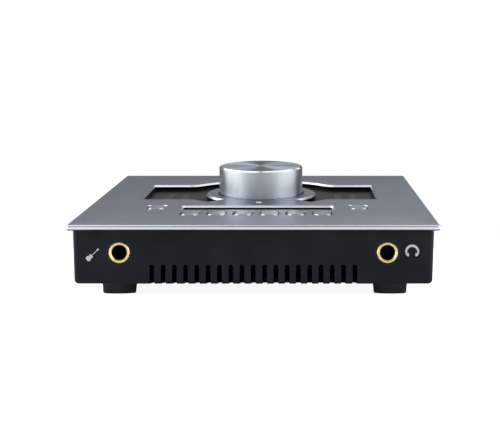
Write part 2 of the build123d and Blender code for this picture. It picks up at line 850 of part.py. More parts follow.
# ---------------------------------------------------------------- keys
switch_size = 6.0
switch_body_height = 2.4
switch_top = ui_seat - switch_body_height
stem_entry = 0.7
switch_bore_depth = stem_entry + key_travel + seat_gap
key_shoulder = key_slope_height - key_crown
stem_reach = switch_top + stem_entry
for name, place in zip(key_names, key_places):
    with BuildPart() as key:
        with BuildSketch(level(-key_shoulder)):
            with Locations(place):
                RectangleRounded(key_width, key_depth, key_corner)
        extrude(amount=-(cover_thickness + slip - key_shoulder))
        # The crown slopes down wide at the key's ends and narrow at its long sides
        with BuildSketch(level(-key_shoulder)):
            with Locations(place):
                RectangleRounded(key_width, key_depth, key_corner)
        with BuildSketch(level(key_crown)):
            with Locations(place):
                RectangleRounded(
                    key_width - 2 * key_end_slope, key_depth - 2 * key_side_slope, key_corner - key_side_slope
                )
        loft()
        with BuildSketch(level(-(cover_thickness + slip))):
            with Locations(place):
                RectangleRounded(key_width + 2 * key_flange, key_depth + 2 * key_flange, key_corner)
        extrude(amount=-key_flange_height)
        with BuildSketch(level(-(cover_thickness + slip))):
            with Locations(place):
                Circle(key_stem_radius)
        extrude(amount=-(stem_reach - cover_thickness - slip))
    save(key, name)

with BuildPart() as button_switches:
    with BuildSketch(level(-ui_seat)):
        with Locations(*key_places):
            Rectangle(switch_size, switch_size)
    extrude(amount=switch_body_height)
    with BuildSketch(level(-switch_top)):
        with Locations(*key_places):
            Circle(key_stem_radius + running)
    extrude(amount=-switch_bore_depth, mode=Mode.SUBTRACT)
save(button_switches, "button_switches")

# ---------------------------------------------------------------- front sockets
jack_front = body_front + wall
jack_top = 2 * jack_height - board_top
ferrule_tube = 4.0
ferrule_depth = wall + 4.0
contact_width = 2.3
contact_lift = 3.7
contact_thickness = 0.4
contact_ys = (6.5, 10.5, 14.5)
for name, x in (("instrument_jack", -jack_spacing / 2), ("headphone_jack", jack_spacing / 2)):
    with BuildPart() as jack_body:
        with BuildSketch(facing_front(jack_front)):
            with Locations((x, jack_height)):
                Rectangle(jack_width, jack_top - board_top)
        extrude(amount=-jack_depth)
        with BuildSketch(facing_front(jack_front)):
            with Locations((x, jack_height)):
                Circle(ferrule_tube + slip)
        extrude(amount=-(ferrule_depth - wall + slip), mode=Mode.SUBTRACT)
        with BuildSketch(facing_front(jack_front)):
            with Locations((x, jack_height)):
                Circle(jack_bore)
        extrude(amount=-(jack_depth - 1.8), mode=Mode.SUBTRACT)
        with BuildSketch(Plane.XY.offset(jack_top)):
            with Locations((x, jack_front + jack_depth / 2 + 0.5)):
                Rectangle(contact_width + 2 * slip, jack_depth - 8.0)
        extrude(amount=-(jack_top - jack_height), mode=Mode.SUBTRACT)
    save(jack_body, f"{name}_body")
    with BuildPart() as ferrule:
        with BuildSketch(Plane(origin=(x, body_front, jack_height), x_dir=(1, 0, 0), z_dir=(0, 0, 1))):
            Polygon(
                (jack_bore + ferrule_bevel, -ferrule_lip),
                (ferrule_radius - ferrule_edge, -ferrule_lip),
                (ferrule_radius, ferrule_edge - ferrule_lip),
                (ferrule_radius, wall),
                (ferrule_tube, wall),
                (ferrule_tube, ferrule_depth),
                (jack_bore, ferrule_depth),
                (jack_bore, ferrule_bevel - ferrule_lip),
                align=None,
            )
        revolve(axis=Axis((x, 0, jack_height), (0, 1, 0)))
    save(ferrule, f"{name}_ferrule")

with BuildPart() as front_jack_contacts:
    with BuildSketch(Plane.XY.offset(jack_height + contact_lift)):
        for x in (-jack_spacing / 2, jack_spacing / 2):
            for y in contact_ys:
                with Locations((x, jack_front + y)):
                    Rectangle(contact_width, 2.4)
    extrude(amount=contact_thickness)
save(front_jack_contacts, "front_jack_contacts")

# ---------------------------------------------------------------- boards and what they carry
io_board_half = 65.5
with BuildPart() as ui_board:
    with BuildSketch(level(-ui_seat)):
        with Locations((0, (ui_board_front + ui_board_back) / 2)):
            Rectangle(2 * ui_board_half, ui_board_back - ui_board_front)
        with Locations(*ui_boss_places):
            Circle(m25_radius + slip, mode=Mode.SUBTRACT)
    extrude(amount=-board_thickness)
save(ui_board, "ui_board")

with BuildPart() as main_board:
    with BuildSketch(Plane.XY.offset(board_seat)):
        with Locations((0, (main_board_front + main_board_back) / 2)):
            Rectangle(2 * main_board_half, main_board_back - main_board_front)
        with Locations(*standoff_places):
            Circle(m25_radius + slip, mode=Mode.SUBTRACT)
    extrude(amount=board_thickness)
save(main_board, "main_board")

with BuildPart() as io_board:
    with BuildSketch(facing_back(io_board_front)):
        with Locations((0, (board_top + io_board_top) / 2)):
            Rectangle(2 * io_board_half, io_board_top - board_top)
    extrude(amount=board_thickness)
save(io_board, "io_board")

with BuildPart() as board_standoffs:
    with BuildSketch(Plane.XY.offset(floor_top)):
        with Locations(*standoff_places):
            RegularPolygon(m25_radius * 2.2, 6)
            Circle(m25_radius + thread_gap, mode=Mode.SUBTRACT)
    extrude(amount=standoff_height)
save(board_standoffs, "board_standoffs")

with BuildPart() as board_screws:
    with BuildSketch(Plane.XY.offset(board_top)):
        with Locations(*standoff_places):
            Circle(m25_radius * head_ratio)
    extrude(amount=1.5)
    with BuildSketch(Plane.XY.offset(board_top)):
        with Locations(*standoff_places):
            Circle(m25_radius)
    extrude(amount=-(board_thickness + standoff_height - 0.4))
    with BuildSketch(level(-ui_under)):
        with Locations(*ui_boss_places):
            Circle(m25_radius * head_ratio)
    extrude(amount=-1.5)
    with BuildSketch(level(-ui_under)):
        with Locations(*ui_boss_places):
            Circle(m25_radius)
    extrude(amount=board_thickness + 4.0)
save(board_screws, "board_screws")

chip_size = 15.0
chip_height = 1.4
chip_places = [(-16.0, -20.0), (4.0, -20.0)]
header_width = 14.0
header_depth = 4.0
header_height = 3.0
ui_header_v = 70.0
ribbon_run = 15.2
ui_header_y = cover_front + ui_header_v * cos(slope) + (ui_under + header_height) * sin(slope)
main_header_y = ui_header_y + ribbon_run
capacitor_places = [(x, io_board_front - y) for x in (34.0, 46.0) for y in (16.4, 32.4)]
inductor_places = [(x, io_board_front - 24.4) for x in (-38.0, -24.0)]
with BuildPart() as board_components:
    with BuildSketch(Plane.XY.offset(board_top)):
        with Locations(*chip_places):
            Rectangle(chip_size, chip_size)
    extrude(amount=chip_height)
    with BuildSketch(Plane.XY.offset(board_top)):
        with Locations(*capacitor_places):
            Circle(4.0)
    extrude(amount=10.0)
    with BuildSketch(Plane.XY.offset(board_top)):
        with Locations(*inductor_places):
            RectangleRounded(10.0, 10.0, 2.0)
    extrude(amount=5.0)
    with BuildSketch(Plane.XY.offset(board_top)):
        with Locations((0, main_header_y)):
            Rectangle(header_width, header_depth)
    extrude(amount=header_height)
    with BuildSketch(level(-ui_under)):
        with Locations((0, ui_header_v)):
            Rectangle(header_width, header_depth)
    extrude(amount=-header_height)
save(board_components, "board_components")

sink_base = 2.0
fin_height = 6.0
fin_count = 8
fin_pitch = 4.8
with BuildPart() as heat_sink:
    with BuildSketch(Plane.XY.offset(board_top + chip_height)):
        with Locations((-6.0, -20.0)):
            Rectangle(38.0, 24.0)
    extrude(amount=sink_base)
    with BuildSketch(Plane.XY.offset(board_top + chip_height + sink_base)):
        with Locations((-6.0, -20.0)):
            with GridLocations(fin_pitch, 0, fin_count, 1):
                Rectangle(1.2, 24.0)
    extrude(amount=fin_height)
save(heat_sink, "heat_sink")

ribbon_width = 11.0
ribbon_thickness = 0.6
ribbon_bend = 2.5
ui_header_z = under_cover(ui_header_y, ui_under + header_height)
main_header_z = board_top + header_height
ribbon_middle = (ui_header_z + main_header_z) / 2
with BuildPart() as ribbon_cable:
    with BuildSketch(Plane.YZ.offset(-ribbon_width / 2)):
        with BuildLine():
            FilletPolyline(
                (ui_header_y, ui_header_z - seat_gap),
                (ui_header_y, ribbon_middle),
                (main_header_y, ribbon_middle),
                (main_header_y, main_header_z),
                radius=ribbon_bend,
            )
        trace(line_width=ribbon_thickness)
    extrude(amount=ribbon_width)
save(ribbon_cable, "ribbon_cable")
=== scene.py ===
"""Finishes, small surface pieces, lamps and camera for a desktop audio interface, in metres."""

import json
import math

import bmesh
import bpy
from mathutils import Matrix, Vector

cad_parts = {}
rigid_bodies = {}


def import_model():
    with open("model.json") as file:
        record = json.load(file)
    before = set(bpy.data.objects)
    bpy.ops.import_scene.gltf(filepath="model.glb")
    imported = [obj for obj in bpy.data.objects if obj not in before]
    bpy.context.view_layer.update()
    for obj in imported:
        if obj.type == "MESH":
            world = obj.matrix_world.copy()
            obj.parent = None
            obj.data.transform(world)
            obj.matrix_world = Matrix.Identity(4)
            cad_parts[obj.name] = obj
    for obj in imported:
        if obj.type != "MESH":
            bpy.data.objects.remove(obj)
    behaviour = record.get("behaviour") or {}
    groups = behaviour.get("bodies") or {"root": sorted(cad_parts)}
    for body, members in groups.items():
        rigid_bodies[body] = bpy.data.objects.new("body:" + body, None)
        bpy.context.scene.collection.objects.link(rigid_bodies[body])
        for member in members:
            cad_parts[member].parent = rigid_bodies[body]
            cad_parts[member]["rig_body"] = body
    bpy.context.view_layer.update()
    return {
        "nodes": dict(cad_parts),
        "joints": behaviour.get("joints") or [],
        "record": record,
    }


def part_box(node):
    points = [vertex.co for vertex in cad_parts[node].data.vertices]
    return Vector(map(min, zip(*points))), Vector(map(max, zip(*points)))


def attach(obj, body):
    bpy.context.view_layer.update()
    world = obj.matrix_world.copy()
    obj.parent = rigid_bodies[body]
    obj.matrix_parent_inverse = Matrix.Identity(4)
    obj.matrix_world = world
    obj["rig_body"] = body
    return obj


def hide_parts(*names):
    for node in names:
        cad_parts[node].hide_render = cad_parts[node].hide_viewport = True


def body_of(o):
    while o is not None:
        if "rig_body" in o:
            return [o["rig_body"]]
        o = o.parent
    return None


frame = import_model()
nodes = frame["nodes"]
joints = {joint["name"]: joint for joint in frame["joints"]}
mounts = {mount["name"]: mount for mount in frame["record"]["mounts"]}
SLOTS = {part["node"]: part["material_slot"] for part in frame["record"]["subparts"]}

# ---------------------------------------------------------------- places taken from the frame
MM = 0.001
CHASSIS = "chassis"
COVER_UP = Vector(joints["knob_turn"]["axis"])
UP_SLOPE = COVER_UP.cross(Vector((1, 0, 0)))
KNOB_CENTRE = Vector(joints["knob_turn"]["pos_m"])
BODY_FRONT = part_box("body_shell")[0].y
PANEL_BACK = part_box("rear_panel")[1].y


def on_cover(right, up_slope, height):
    """A point given in millimetres from the knob's centre, along the cover and above its top face."""
    return KNOB_CENTRE + (Vector((right, 0, 0)) + UP_SLOPE * up_slope + COVER_UP * height) * MM


def middle_of(node):
    """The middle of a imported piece's box."""
    low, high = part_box(node)
    return (low + high) / 2


# ---------------------------------------------------------------- shader helpers
def linear(code):
    """An sRGB hex colour as the linear red, green, blue and alpha that sockets take."""
    shares = [int(code[i : i + 2], 16) / 255 for i in (1, 3, 5)]
    return (*[c / 12.92 if c <= 0.04045 else ((c + 0.055) / 1.055) ** 2.4 for c in shares], 1.0)


def add(tree, kind, inputs=None, **settings):
    """Add a node; each input takes a value, a hex colour, or the node or output that feeds it."""
    node = tree.nodes.new(kind)
    for name, value in settings.items():
        setattr(node, name, value)
    for name, value in (inputs or {}).items():
        if isinstance(value, bpy.types.Node):
            value = next(output for output in value.outputs if output.enabled)
        if isinstance(value, bpy.types.NodeSocket):
            tree.links.new(value, node.inputs[name])
        else:
            node.inputs[name].default_value = linear(value) if isinstance(value, str) else value
    return node


def finish(name, **sockets):
    """A new material, its tree, its shader with plain socket values, and the piece's own place in mm."""
    material = bpy.data.materials.new(name)
    material.use_nodes = True
    tree = material.node_tree
    tree.nodes.clear()
    values = {key.replace("_", " "): value for key, value in sockets.items()}
    shader = add(tree, "ShaderNodeBsdfPrincipled", values)
    add(tree, "ShaderNodeOutputMaterial", {"Surface": shader})
    own_place = add(tree, "ShaderNodeTexCoord").outputs["Object"]
    place = add(tree, "ShaderNodeVectorMath", {0: own_place, "Scale": 1 / MM}, operation="SCALE")
    return material, tree, shader, place


def coat(tree, shader, colour, roughness, height, depth, rounding):
    """Join colour, roughness and relief to a shader; depth and the radius that rounds edges are in mm."""
    edge = add(tree, "ShaderNodeBevel", {"Radius": rounding * MM}, samples=4)
    bump = {"Height": height, "Distance": depth * MM, "Strength": 1.0, "Normal": edge}
    relief = add(tree, "ShaderNodeBump", bump)
    for socket, source in (("Base Color", colour), ("Roughness", roughness), ("Normal", relief)):
        tree.links.new(next(out for out in source.outputs if out.enabled), shader.inputs[socket])


def worn_edge(tree, patches, radius):
    """One along sharp corners, for rubbed wear and a painted edge highlight, broken up by a pattern; radius
    in mm.
    """
    edge = add(tree, "ShaderNodeBevel", {"Radius": radius * MM}, samples=4)
    flat = add(tree, "ShaderNodeNewGeometry").outputs["Normal"]
    alike = add(tree, "ShaderNodeVectorMath", {0: edge, 1: flat}, operation="DOT_PRODUCT")
    alike = alike.outputs["Value"]
    turned = {"Value": alike, "From Min": 0.8, "From Max": 0.99, "To Min": 1.0, "To Max": 0.0}
    broken = {"Value": patches, "From Min": 0.3, "From Max": 0.7, "To Min": 0.1, "To Max": 0.8}
    share = {0: add(tree, "ShaderNodeMapRange", turned), 1: add(tree, "ShaderNodeMapRange", broken)}
    return add(tree, "ShaderNodeMath", share, operation="MULTIPLY")


def lean(tree, direction):
    """How far the surface faces a direction fixed to the piece: 1 square to it, 0 edge on."""
    facing = add(tree, "ShaderNodeTexCoord").outputs["Normal"]
    dot = add(tree, "ShaderNodeVectorMath", {0: facing, 1: tuple(direction)}, operation="DOT_PRODUCT")
    return dot.outputs["Value"]


def between(tree, value, low, high, soft=0.03):
    """One where a value lies between two limits, with soft ends."""
    rise = {"Value": value, "From Min": low - soft, "From Max": low + soft}
    fall = {"Value": value, "From Min": high - soft, "From Max": high + soft, "To Min": 1.0, "To Max": 0.0}
    share = {0: add(tree, "ShaderNodeMapRange", rise), 1: add(tree, "ShaderNodeMapRange", fall)}
    return add(tree, "ShaderNodeMath", share, operation="MULTIPLY")


def within(tree, place, up_slope, half_width, half_length):
    """One within a rectangle of the cover, its middle given in millimetres up the slope from the knob's."""
    middle = tuple(on_cover(0.0, up_slope, 0.0) / MM)
    arm = add(tree, "ShaderNodeVectorMath", {0: place, 1: middle}, operation="SUBTRACT")
    shares = []
    for direction, reach in ((Vector((1, 0, 0)), half_width), (UP_SLOPE, half_length)):
        along = add(tree, "ShaderNodeVectorMath", {0: arm, 1: tuple(direction)}, operation="DOT_PRODUCT")
        shares.append(between(tree, along.outputs["Value"], -reach, reach, soft=0.5))
    return add(tree, "ShaderNodeMath", dict(enumerate(shares)), operation="MULTIPLY")


# ---------------------------------------------------------------- finishes
# Two rectangles of the cover, as the middle's place up the slope from the knob's centre, half the width
# and half the length in millimetres. One holds every window and key, the other only the row of keys.
OPENINGS = (-9.0, 62.5, 57.5)
KEY_ROW = (-59.0, 40.0, 7.0)
# How far a face leans from the cover's own direction, as a cosine: a bevel's range and an upright wall's
BEVELS = (0.25, 0.93)
UPRIGHTS = (-0.2, 0.25)


def blasted_aluminium(name, plain, cloudy, cut_edge_and_highlight, window_cuts=False):
    """Anodised aluminium, bead-blasted to a soft satin, with bevels and rims painted bright: partly cut
    metal, partly painted highlight.
    """
    material, tree, shader, place = finish(name, Metallic=1.0)
    # The beads leave dents of about 0.1 mm, drawn at 0.45 mm so that they show at arm's length
    grit = add(tree, "ShaderNodeTexNoise", {"Vector": place, "Scale": 1 / 0.45, "Detail": 2.0})
    # The bath leaves the tone uneven over a few centimetres
    cloud = add(tree, "ShaderNodeTexNoise", {"Vector": place, "Scale": 1 / 26.0, "Detail": 1.0})
    base = add(tree, "ShaderNodeMix", {0: cloud, 6: plain, 7: cloudy}, data_type="RGBA")
    dents = {"Value": grit, "From Min": 0.4, "From Max": 0.7, "To Min": 0.0, "To Max": 0.2}
    dented = {0: add(tree, "ShaderNodeMapRange", dents), 6: base, 7: "#C4C7CD"}
    base = add(tree, "ShaderNodeMix", dented, data_type="RGBA")
    # Bevels and rounded rims lean away from the flat top. They are painted brighter, partly for the bare
    # cut metal and partly as painted highlight, the rims nearly white
    facing = lean(tree, COVER_UP)
    bevel = between(tree, facing, *BEVELS)
    rim = between(tree, facing, *UPRIGHTS)
    if window_cuts:
        # The bevels of the openings for the row of keys get no painted highlight
        keys = within(tree, place, *KEY_ROW)
        bevel = add(tree, "ShaderNodeMath", {0: bevel, 1: keys}, operation="SUBTRACT", use_clamp=True)
    base = add(tree, "ShaderNodeMix", {0: bevel, 6: base, 7: cut_edge_and_highlight}, data_type="RGBA")
    base = add(tree, "ShaderNodeMix", {0: rim, 6: base, 7: "#E2E4EA"}, data_type="RGBA")
    if window_cuts:
        # The openings' upright walls are painted near-black as painted shade, so that they don't shine
        # beside the windows
        openings = within(tree, place, *OPENINGS)
        painted_shade_walls = add(tree, "ShaderNodeMath", {0: rim, 1: openings}, operation="MULTIPLY")
        base = add(tree, "ShaderNodeMix", {0: painted_shade_walls, 6: base, 7: "#141619"}, data_type="RGBA")
    satin = {"Value": grit, "From Min": 0.3, "From Max": 0.7, "To Min": 0.31, "To Max": 0.39}
    rough = {"Factor": bevel, "A": add(tree, "ShaderNodeMapRange", satin), "B": 0.24}
    rough = add(tree, "ShaderNodeMix", rough)
    coat(tree, shader, base, rough, grit, depth=0.008, rounding=0.1)
    return material


def turned_aluminium():
    """Aluminium turned on a lathe: a top whose rings fan the light, a satin side and a polished bevel."""
    material, tree, shader, place = finish("turned_aluminium", Metallic=1.0, Anisotropic=0.88)
    arm = add(tree, "ShaderNodeVectorMath", {0: place, 1: tuple(KNOB_CENTRE / MM)}, operation="SUBTRACT")
    round_way = add(tree, "ShaderNodeVectorMath", {0: tuple(COVER_UP), 1: arm}, operation="CROSS_PRODUCT")
    reach = add(tree, "ShaderNodeVectorMath", {0: round_way}, operation="LENGTH").outputs["Value"]
    along = add(tree, "ShaderNodeVectorMath", {0: round_way}, operation="NORMALIZE")
    facing = lean(tree, COVER_UP)
    bevel = between(tree, facing, *BEVELS)
    top = add(tree, "ShaderNodeMapRange", {"Value": facing, "From Min": 0.93, "From Max": 0.97})
    # The side's fine marks blur the light up and down it, and the faced top's blur it around
    tangent = add(tree, "ShaderNodeMix", {0: top, 4: tuple(COVER_UP), 5: along}, data_type="VECTOR")
    turned = {"vector_type": "VECTOR", "convert_from": "OBJECT", "convert_to": "WORLD"}
    tangent = add(tree, "ShaderNodeVectorTransform", {"Vector": tangent}, **turned)
    tree.links.new(tangent.outputs["Vector"], shader.inputs["Tangent"])
    # The tool feeds about 0.1 mm a turn, drawn at 0.35 mm so that the rings show
    rings = {"W": reach, "Scale": 1 / 0.35, "Detail": 3.0}
    rings = add(tree, "ShaderNodeTexNoise", rings, noise_dimensions="1D")
    tint = add(tree, "ShaderNodeMapRange", {"Value": rings, "From Min": 0.35, "From Max": 0.65})
    # The top is painted far darker and bluer than the side of the same bar, as painted shade; its rings
    # vary the tone
    painted_shade_top = add(tree, "ShaderNodeMix", {0: tint, 6: "#72838C", 7: "#888C95"}, data_type="RGBA")
    base = add(tree, "ShaderNodeMix", {0: top, 6: "#D6DDE3", 7: painted_shade_top}, data_type="RGBA")
    base = add(tree, "ShaderNodeMix", {0: bevel, 6: base, 7: "#D8DEE3"}, data_type="RGBA")
    satin = add(tree, "ShaderNodeTexNoise", {"Vector": place, "Scale": 1 / 0.5, "Detail": 2.0})
    satin = add(tree, "ShaderNodeMapRange", {"Value": satin, "To Min": 0.27, "To Max": 0.35})
    fan = {"Value": rings, "From Min": 0.3, "From Max": 0.7, "To Min": 0.44, "To Max": 0.54}
    fan = add(tree, "ShaderNodeMapRange", fan)
    rough = add(tree, "ShaderNodeMix", {"Factor": top, "A": satin, "B": fan})
    rough = add(tree, "ShaderNodeMix", {"Factor": bevel, "A": rough, "B": 0.16})
    height = add(tree, "ShaderNodeMath", {0: top, 1: rings}, operation="MULTIPLY")
    coat(tree, shader, base, rough, height, depth=0.01, rounding=0.1)
    return material


def powder_paint(name, colour, lighter_and_sheen, size, depth, matt, shine, rounding):
    """Powder paint baked on metal: a fine orange peel, lighter over corners, partly paint worn thin and
    partly painted highlight.

    The peel's size and depth and the corners' rounding are in millimetres.
    """
    material, tree, shader, place = finish(name, IOR=1.5, Specular_IOR_Level=shine)
    peel = add(tree, "ShaderNodeTexNoise", {"Vector": place, "Scale": 1 / size, "Detail": 3.0})
    # The coat lies uneven over a centimetre or two
    cloud = add(tree, "ShaderNodeTexNoise", {"Vector": place, "Scale": 1 / 18.0, "Detail": 1.0})
    cloud = {"Value": cloud, "From Min": 0.3, "From Max": 0.7, "To Max": 0.25}
    cloud = add(tree, "ShaderNodeMapRange", cloud)
    base = add(tree, "ShaderNodeMix", {0: cloud, 6: colour, 7: lighter_and_sheen}, data_type="RGBA")
    # Corners are painted lighter: partly paint worn thin, partly painted highlight on the rounded edges
    thin = worn_edge(tree, peel, radius=0.5)
    base = add(tree, "ShaderNodeMix", {0: thin, 6: base, 7: lighter_and_sheen}, data_type="RGBA")
    rough = add(tree, "ShaderNodeMapRange", {"Value": peel, "To Min": matt[0], "To Max": matt[1]})
    coat(tree, shader, base, rough, peel, depth, rounding)
    return material


def moulded_plastic(name, colour, lighter):
    """Injection-moulded plastic: the spark-eroded texture of its mould, with softened corners."""
    material, tree, shader, place = finish(name, IOR=1.5, Specular_IOR_Level=0.3)
    # The mould's grains, drawn at 0.6 mm so that they show
    texture = add(tree, "ShaderNodeTexNoise", {"Vector": place, "Scale": 1 / 0.6, "Detail": 2.0})
    # Where the melt flowed together the tone changes, about every centimetre
    flow = add(tree, "ShaderNodeTexNoise", {"Vector": place, "Scale": 1 / 9.0, "Detail": 1.0})
    flow = {"Value": flow, "From Min": 0.3, "From Max": 0.7, "To Max": 0.5}
    flow = add(tree, "ShaderNodeMapRange", flow)
    base = add(tree, "ShaderNodeMix", {0: flow, 6: colour, 7: lighter}, data_type="RGBA")
    # Edges are painted lighter: partly rubbed wear, partly painted highlight
    rubbed = worn_edge(tree, texture, radius=0.25)
    base = add(tree, "ShaderNodeMix", {0: rubbed, 6: base, 7: lighter}, data_type="RGBA")
    rough = add(tree, "ShaderNodeMapRange", {"Value": texture, "To Min": 0.4, "To Max": 0.62})
    coat(tree, shader, base, rough, texture, depth=0.01, rounding=0.15)
    return material


def plated_metal(name, colour, shade, matt, rounding=0.08):
    """Metal under a thin plating or oxide that dulls in patches about 1.2 mm across."""
    material, tree, shader, place = finish(name, Metallic=1.0)
    patch = add(tree, "ShaderNodeTexNoise", {"Vector": place, "Scale": 1 / 1.2, "Detail": 3.0})
    dull = add(tree, "ShaderNodeMapRange", {"Value": patch, "From Min": 0.3, "From Max": 0.7})
    base = add(tree, "ShaderNodeMix", {0: dull, 6: colour, 7: shade}, data_type="RGBA")
    rough = add(tree, "ShaderNodeMapRange", {"Value": dull, "To Min": matt[0], "To Max": matt[1]})
    coat(tree, shader, base, rough, patch, depth=0.004, rounding=rounding)
    return material


def moulded_rubber():
    """Compression-moulded rubber: matt grey-black, with a bloom of dust in patches of about 2 mm."""
    material, tree, shader, place = finish("moulded_rubber", IOR=1.52, Specular_IOR_Level=0.35)
    bloom = add(tree, "ShaderNodeTexNoise", {"Vector": place, "Scale": 1 / 2.2, "Detail": 4.0})
    grain = add(tree, "ShaderNodeTexNoise", {"Vector": place, "Scale": 1 / 0.4, "Detail": 2.0})
    base = add(tree, "ShaderNodeMix", {0: bloom, 6: "#33373D", 7: "#42464D"}, data_type="RGBA")
    rough = add(tree, "ShaderNodeMapRange", {"Value": grain, "To Min": 0.65, "To Max": 0.85})
    coat(tree, shader, base, rough, grain, depth=0.02, rounding=0.2)
    return material


def smoked_acrylic():
    """Smoked acrylic sheet with an anti-glare face: nearly black, with a soft sheen, uneven over 3 mm."""
    material, tree, shader, place = finish("smoked_acrylic", IOR=1.49, Specular_IOR_Level=0.04)
    haze = add(tree, "ShaderNodeTexNoise", {"Vector": place, "Scale": 1 / 3.0, "Detail": 3.0})
    base = add(tree, "ShaderNodeMix", {0: haze, 6: "#25282E", 7: "#30343A"}, data_type="RGBA")
    rough = add(tree, "ShaderNodeMapRange", {"Value": haze, "To Min": 0.38, "To Max": 0.5})
    coat(tree, shader, base, rough, haze, depth=0.003, rounding=0.1)
    return material


def frosted_diffuser(name, milky, clear):
    """Frosted acrylic, cast cloudy so that it spreads a lamp's light: soft, milky and without glare."""
    material, tree, shader, place = finish(name, IOR=1.49, Subsurface_Weight=0.3)
    shader.inputs["Subsurface Radius"].default_value = (MM, MM, MM)
    milk = add(tree, "ShaderNodeTexNoise", {"Vector": place, "Scale": 1.0, "Detail": 2.0})
    base = add(tree, "ShaderNodeMix", {0: milk, 6: milky, 7: clear}, data_type="RGBA")
    rough = add(tree, "ShaderNodeMapRange", {"Value": milk, "To Min": 0.36, "To Max": 0.5})
    coat(tree, shader, base, rough, milk, depth=0.004, rounding=0.1)
    return material


def solder_mask():
    """Fibreglass board under matt black solder mask: the weave shows faintly through it."""
    material, tree, shader, place = finish("black_solder_mask_board", IOR=1.5, Specular_IOR_Level=0.05)
    # The cloth in the board has about 1.4 threads a millimetre
    weave = {"Vector": place, "Scale": 1.4, "Distortion": 0.6}
    weave = add(tree, "ShaderNodeTexWave", weave).outputs["Fac"]
    base = add(tree, "ShaderNodeMix", {0: weave, 6: "#0B0D0F", 7: "#14171A"}, data_type="RGBA")
    rough = add(tree, "ShaderNodeMapRange", {"Value": weave, "To Min": 0.5, "To Max": 0.62})
    coat(tree, shader, base, rough, weave.node, depth=0.01, rounding=0.1)
    return material


def printed_ink():
    """Screen-printed epoxy ink: flat white, a little thin over the paint's texture."""
    material, tree, shader, place = finish("screen_printed_white_ink", IOR=1.5, Specular_IOR_Level=0.3)
    # The screen's mesh leaves marks of about 0.3 mm
    mesh_marks = add(tree, "ShaderNodeTexNoise", {"Vector": place, "Scale": 1 / 0.3, "Detail": 2.0})
    base = add(tree, "ShaderNodeMix", {0: mesh_marks, 6: "#C3C7CC", 7: "#ECEEF1"}, data_type="RGBA")
    rough = add(tree, "ShaderNodeMapRange", {"Value": mesh_marks, "To Min": 0.45, "To Max": 0.65})
    coat(tree, shader, base, rough, mesh_marks, depth=0.004, rounding=0.02)
    return material


WHITE_INK = printed_ink()
# The meter's lamps are off, so its frosted bars stand out from the dark window only a little
UNLIT_METER = frosted_diffuser("unlit_meter_bar", "#1C1D21", "#26282C")
FINISHES = {
    # Plate, bead-blasted and anodised: an even blue-grey satin, and cut edges painted bright, partly bare
    # metal and partly painted highlight
    "cover_aluminium": blasted_aluminium(
        "blasted_anodised_aluminium", "#616A7A", "#697282", "#C9CDD6", window_cuts=True
    ),
    # Bar turned on a lathe: bright, with light that fans out from the middle of its top
    "knob_aluminium": turned_aluminium(),
    # Cast aluminium under fine powder paint: blue-black and nearly matt
    "case_paint": powder_paint(
        "fine_black_powder_paint", "#0C1119", "#303845",
        size=0.5, depth=0.012, matt=(0.38, 0.5), shine=0.2, rounding=0.6,
    ),
    # Sheet metal under smoother paint: a neutral black with a little more shine than the case
    "panel_paint": powder_paint(
        "satin_black_panel_paint", "#111316", "#2A2D31",
        size=0.8, depth=0.006, matt=(0.35, 0.45), shine=0.4, rounding=0.25,
    ),
    "foot_rubber": moulded_rubber(),
    # Screws, nuts and the encoder's shaft, plated with zinc: a cool grey, duller in patches
    "plated_steel": plated_metal("zinc_plated_steel", "#A9ACB1", "#8A8E95", (0.22, 0.36)),
    # Posts turned from bar: yellow, and left bare
    "plain_brass": plated_metal("machined_brass", "#D8B765", "#B8964A", (0.2, 0.3)),
    # Ferrules and contacts, gold over polished nickel: pale yellow and mirror-like
    "gold_plating": plated_metal(
        "polished_gold_plating", "#FFF3BC", "#FFE59A", (0.13, 0.22), rounding=0.35
    ),
    # Keys moulded, then lacquered with fine metal flake: the cover's satin, but lighter, with bevels and
    # rims painted bright as painted highlight
    "key_silver": blasted_aluminium("satin_silver_key", "#828995", "#8B929F", "#C0C4CC"),
    "smoked_window": smoked_acrylic(),
    # Ring and status light, unlit: a cool white
    "light_diffuser": frosted_diffuser("frosted_diffuser", "#DCE1E4", "#F2F4F5"),
    "circuit_board": solder_mask(),
    # The heat sink, extruded and dyed black: a dark metal with a dull gleam
    "sink_aluminium": plated_metal("black_anodised_aluminium", "#1B1C1F", "#242529", (0.35, 0.45)),
    # The data socket's stamped shell, plated with nickel: a neutral, rather bright grey
    "socket_steel": plated_metal("nickel_plated_steel", "#B9BABC", "#9B9DA0", (0.15, 0.25)),
    # Extruded flat cable: plain grey vinyl
    "ribbon_grey": moulded_plastic("flat_cable_vinyl", "#85878B", "#9A9CA0"),
    # Clear epoxy cast round each meter lamp: a pale green when unlit
    "lamp_lens": frosted_diffuser("clear_lamp_epoxy", "#B9C7AE", "#D5E0CC"),
    # Latches pressed, plated and polished: the brightest metal on the back
    "latch_steel": plated_metal("polished_nickel_latch", "#C4C6C9", "#A6A9AD", (0.1, 0.18)),
    # Knob hub, display frame, baffles and switches: a near-black nylon that gives little back
    "moulded_black": moulded_plastic("matt_black_nylon", "#0D0E10", "#1D1F22"),
    # Sockets and switches on the walls, and the encoder: glass fibre leaves the black a little greyer
    "socket_plastic": moulded_plastic("black_glass_filled_nylon", "#0F1012", "#24262A"),
}


# ---------------------------------------------------------------- pieces
def keep(piece, body, slot, material=None):
    """Give a finished piece its finish, looked up by the record's slot unless one is given, and the body
    that it rides on.
    """
    if piece.name not in bpy.context.scene.collection.objects:
        bpy.context.scene.collection.objects.link(piece)
    piece.data.materials.clear()
    piece.data.materials.append(material or FINISHES[slot])
    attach(piece, body)
    return piece


